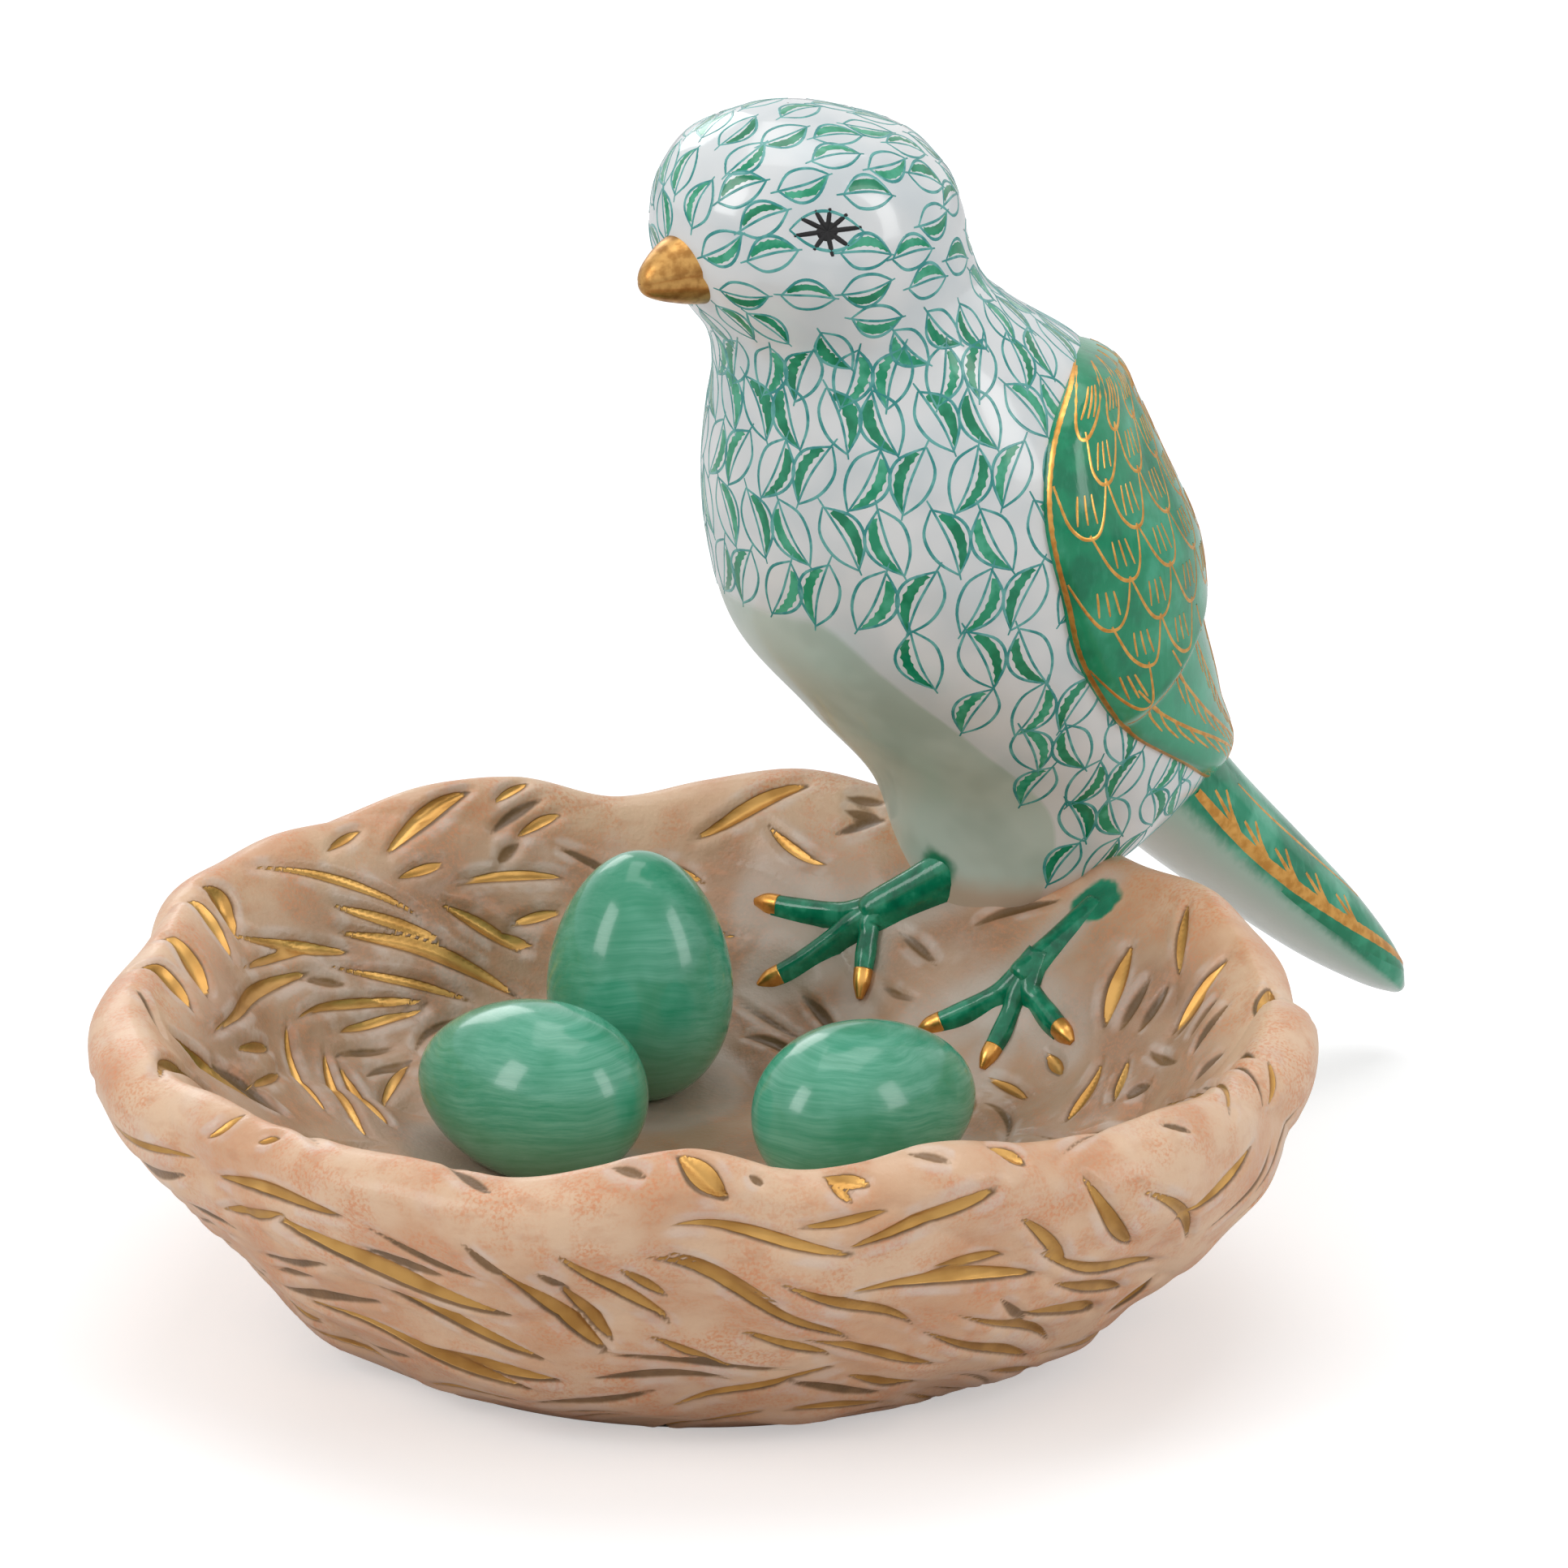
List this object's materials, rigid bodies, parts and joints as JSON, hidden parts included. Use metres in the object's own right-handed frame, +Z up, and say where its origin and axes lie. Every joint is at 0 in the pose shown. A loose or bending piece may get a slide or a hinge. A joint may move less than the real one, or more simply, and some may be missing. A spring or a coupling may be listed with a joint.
{
  "type": "bird on nest figurine",
  "caption": "Glazed porcelain figurine: a small bird perched on the rim of a shallow carved nest bowl that holds eggs, all fired as one piece on a foot ring.",
  "frame": {"origin": "centre of the figurine's bounding box in plan, at the level of the foot's underside", "axes": "+Z up from the foot, +X to the right and +Y to the back of the view from the nest's open side; the bird faces between -X and -Y"},
  "size_m": [0.1018, 0.104, 0.0874],
  "materials": {
    "porcelain": "glossy hand-painted glaze: tan nest with gold straws, white bird with teal and green feathers, mint eggs, gold beak"
  },
  "bodies": {
    "root": {"bird_in_nest": "porcelain"}
  },
  "joints": []
}
